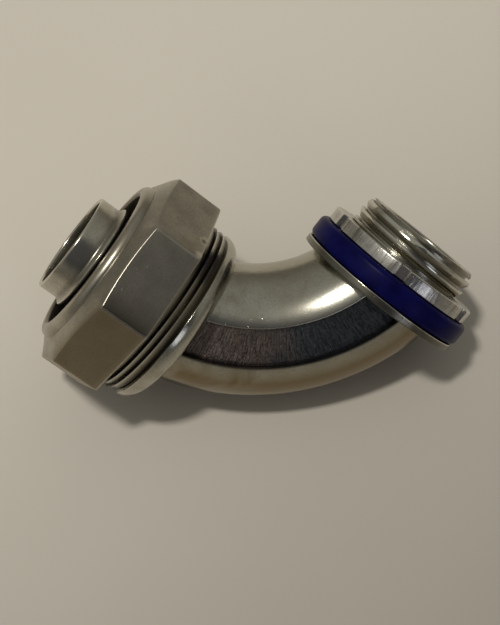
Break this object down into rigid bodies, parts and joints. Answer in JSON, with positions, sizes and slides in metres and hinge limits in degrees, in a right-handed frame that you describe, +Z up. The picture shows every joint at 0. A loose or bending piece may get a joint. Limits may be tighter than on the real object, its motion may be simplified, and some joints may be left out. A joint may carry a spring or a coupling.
{
  "type": "liquidtight elbow connector",
  "caption": "Right-angle liquidtight conduit connector: cast elbow with an octagonal gland nut and ferrule at one end and a threaded hub with gasket and locknut at the other.",
  "frame": {"origin": "centre of the hub's end face, on the hub's axis", "axes": "+Z up from the surface that the connector lies on; the hub points along +Y and the conduit enters along -X, and both axes rise from that surface by about 28 degrees, because the connector lies on the outside of its bend"},
  "size_m": [0.0603, 0.0571, 0.0357],
  "materials": {
    "zinc_casting": "tumbled zinc die casting",
    "zinc_nut": "tumbled zinc die casting, darker flats",
    "blue_seal": "matt dark blue plastic",
    "plated_steel": "satin plated steel",
    "blue_gasket": "smooth dark blue plastic",
    "locknut_metal": "bright plated, worn at the notches"
  },
  "bodies": {
    "elbow": {"elbow_body": "zinc_casting", "ferrule": "plated_steel"},
    "seal": {"sealing_ring": "blue_seal"},
    "nut": {"gland_nut": "zinc_nut"},
    "gasket": {"hub_gasket": "blue_gasket"},
    "lock": {"locknut": "locknut_metal"}
  },
  "joints": [
    {"name": "gland_travel", "type": "slide", "parent": "elbow", "child": "seal", "axis": [-0.8716, -0.125, 0.4739], "range_m": [-0.00115, 0.00345]},
    {"name": "gland_turn", "type": "hinge", "parent": "seal", "child": "nut", "pos_m": [-0.03305, -0.03425, -0.00019], "axis": [-0.8716, -0.125, 0.4739], "range_deg": [-361, 1081]},
    {"name": "locknut_travel", "type": "slide", "parent": "elbow", "child": "gasket", "axis": [0.125, 0.8783, 0.4614], "range_m": [0, 0.00453]},
    {"name": "locknut_turn", "type": "hinge", "parent": "gasket", "child": "lock", "pos_m": [-0.00074, -0.00518, -0.00272], "axis": [0.125, 0.8783, 0.4614], "range_deg": [0, 900]}
  ],
  "couplings": [
    {"joint": "gland_turn", "follows": "gland_travel", "rad_per_m": 5463.6},
    {"joint": "locknut_turn", "follows": "locknut_travel", "rad_per_m": 3463.2}
  ]
}
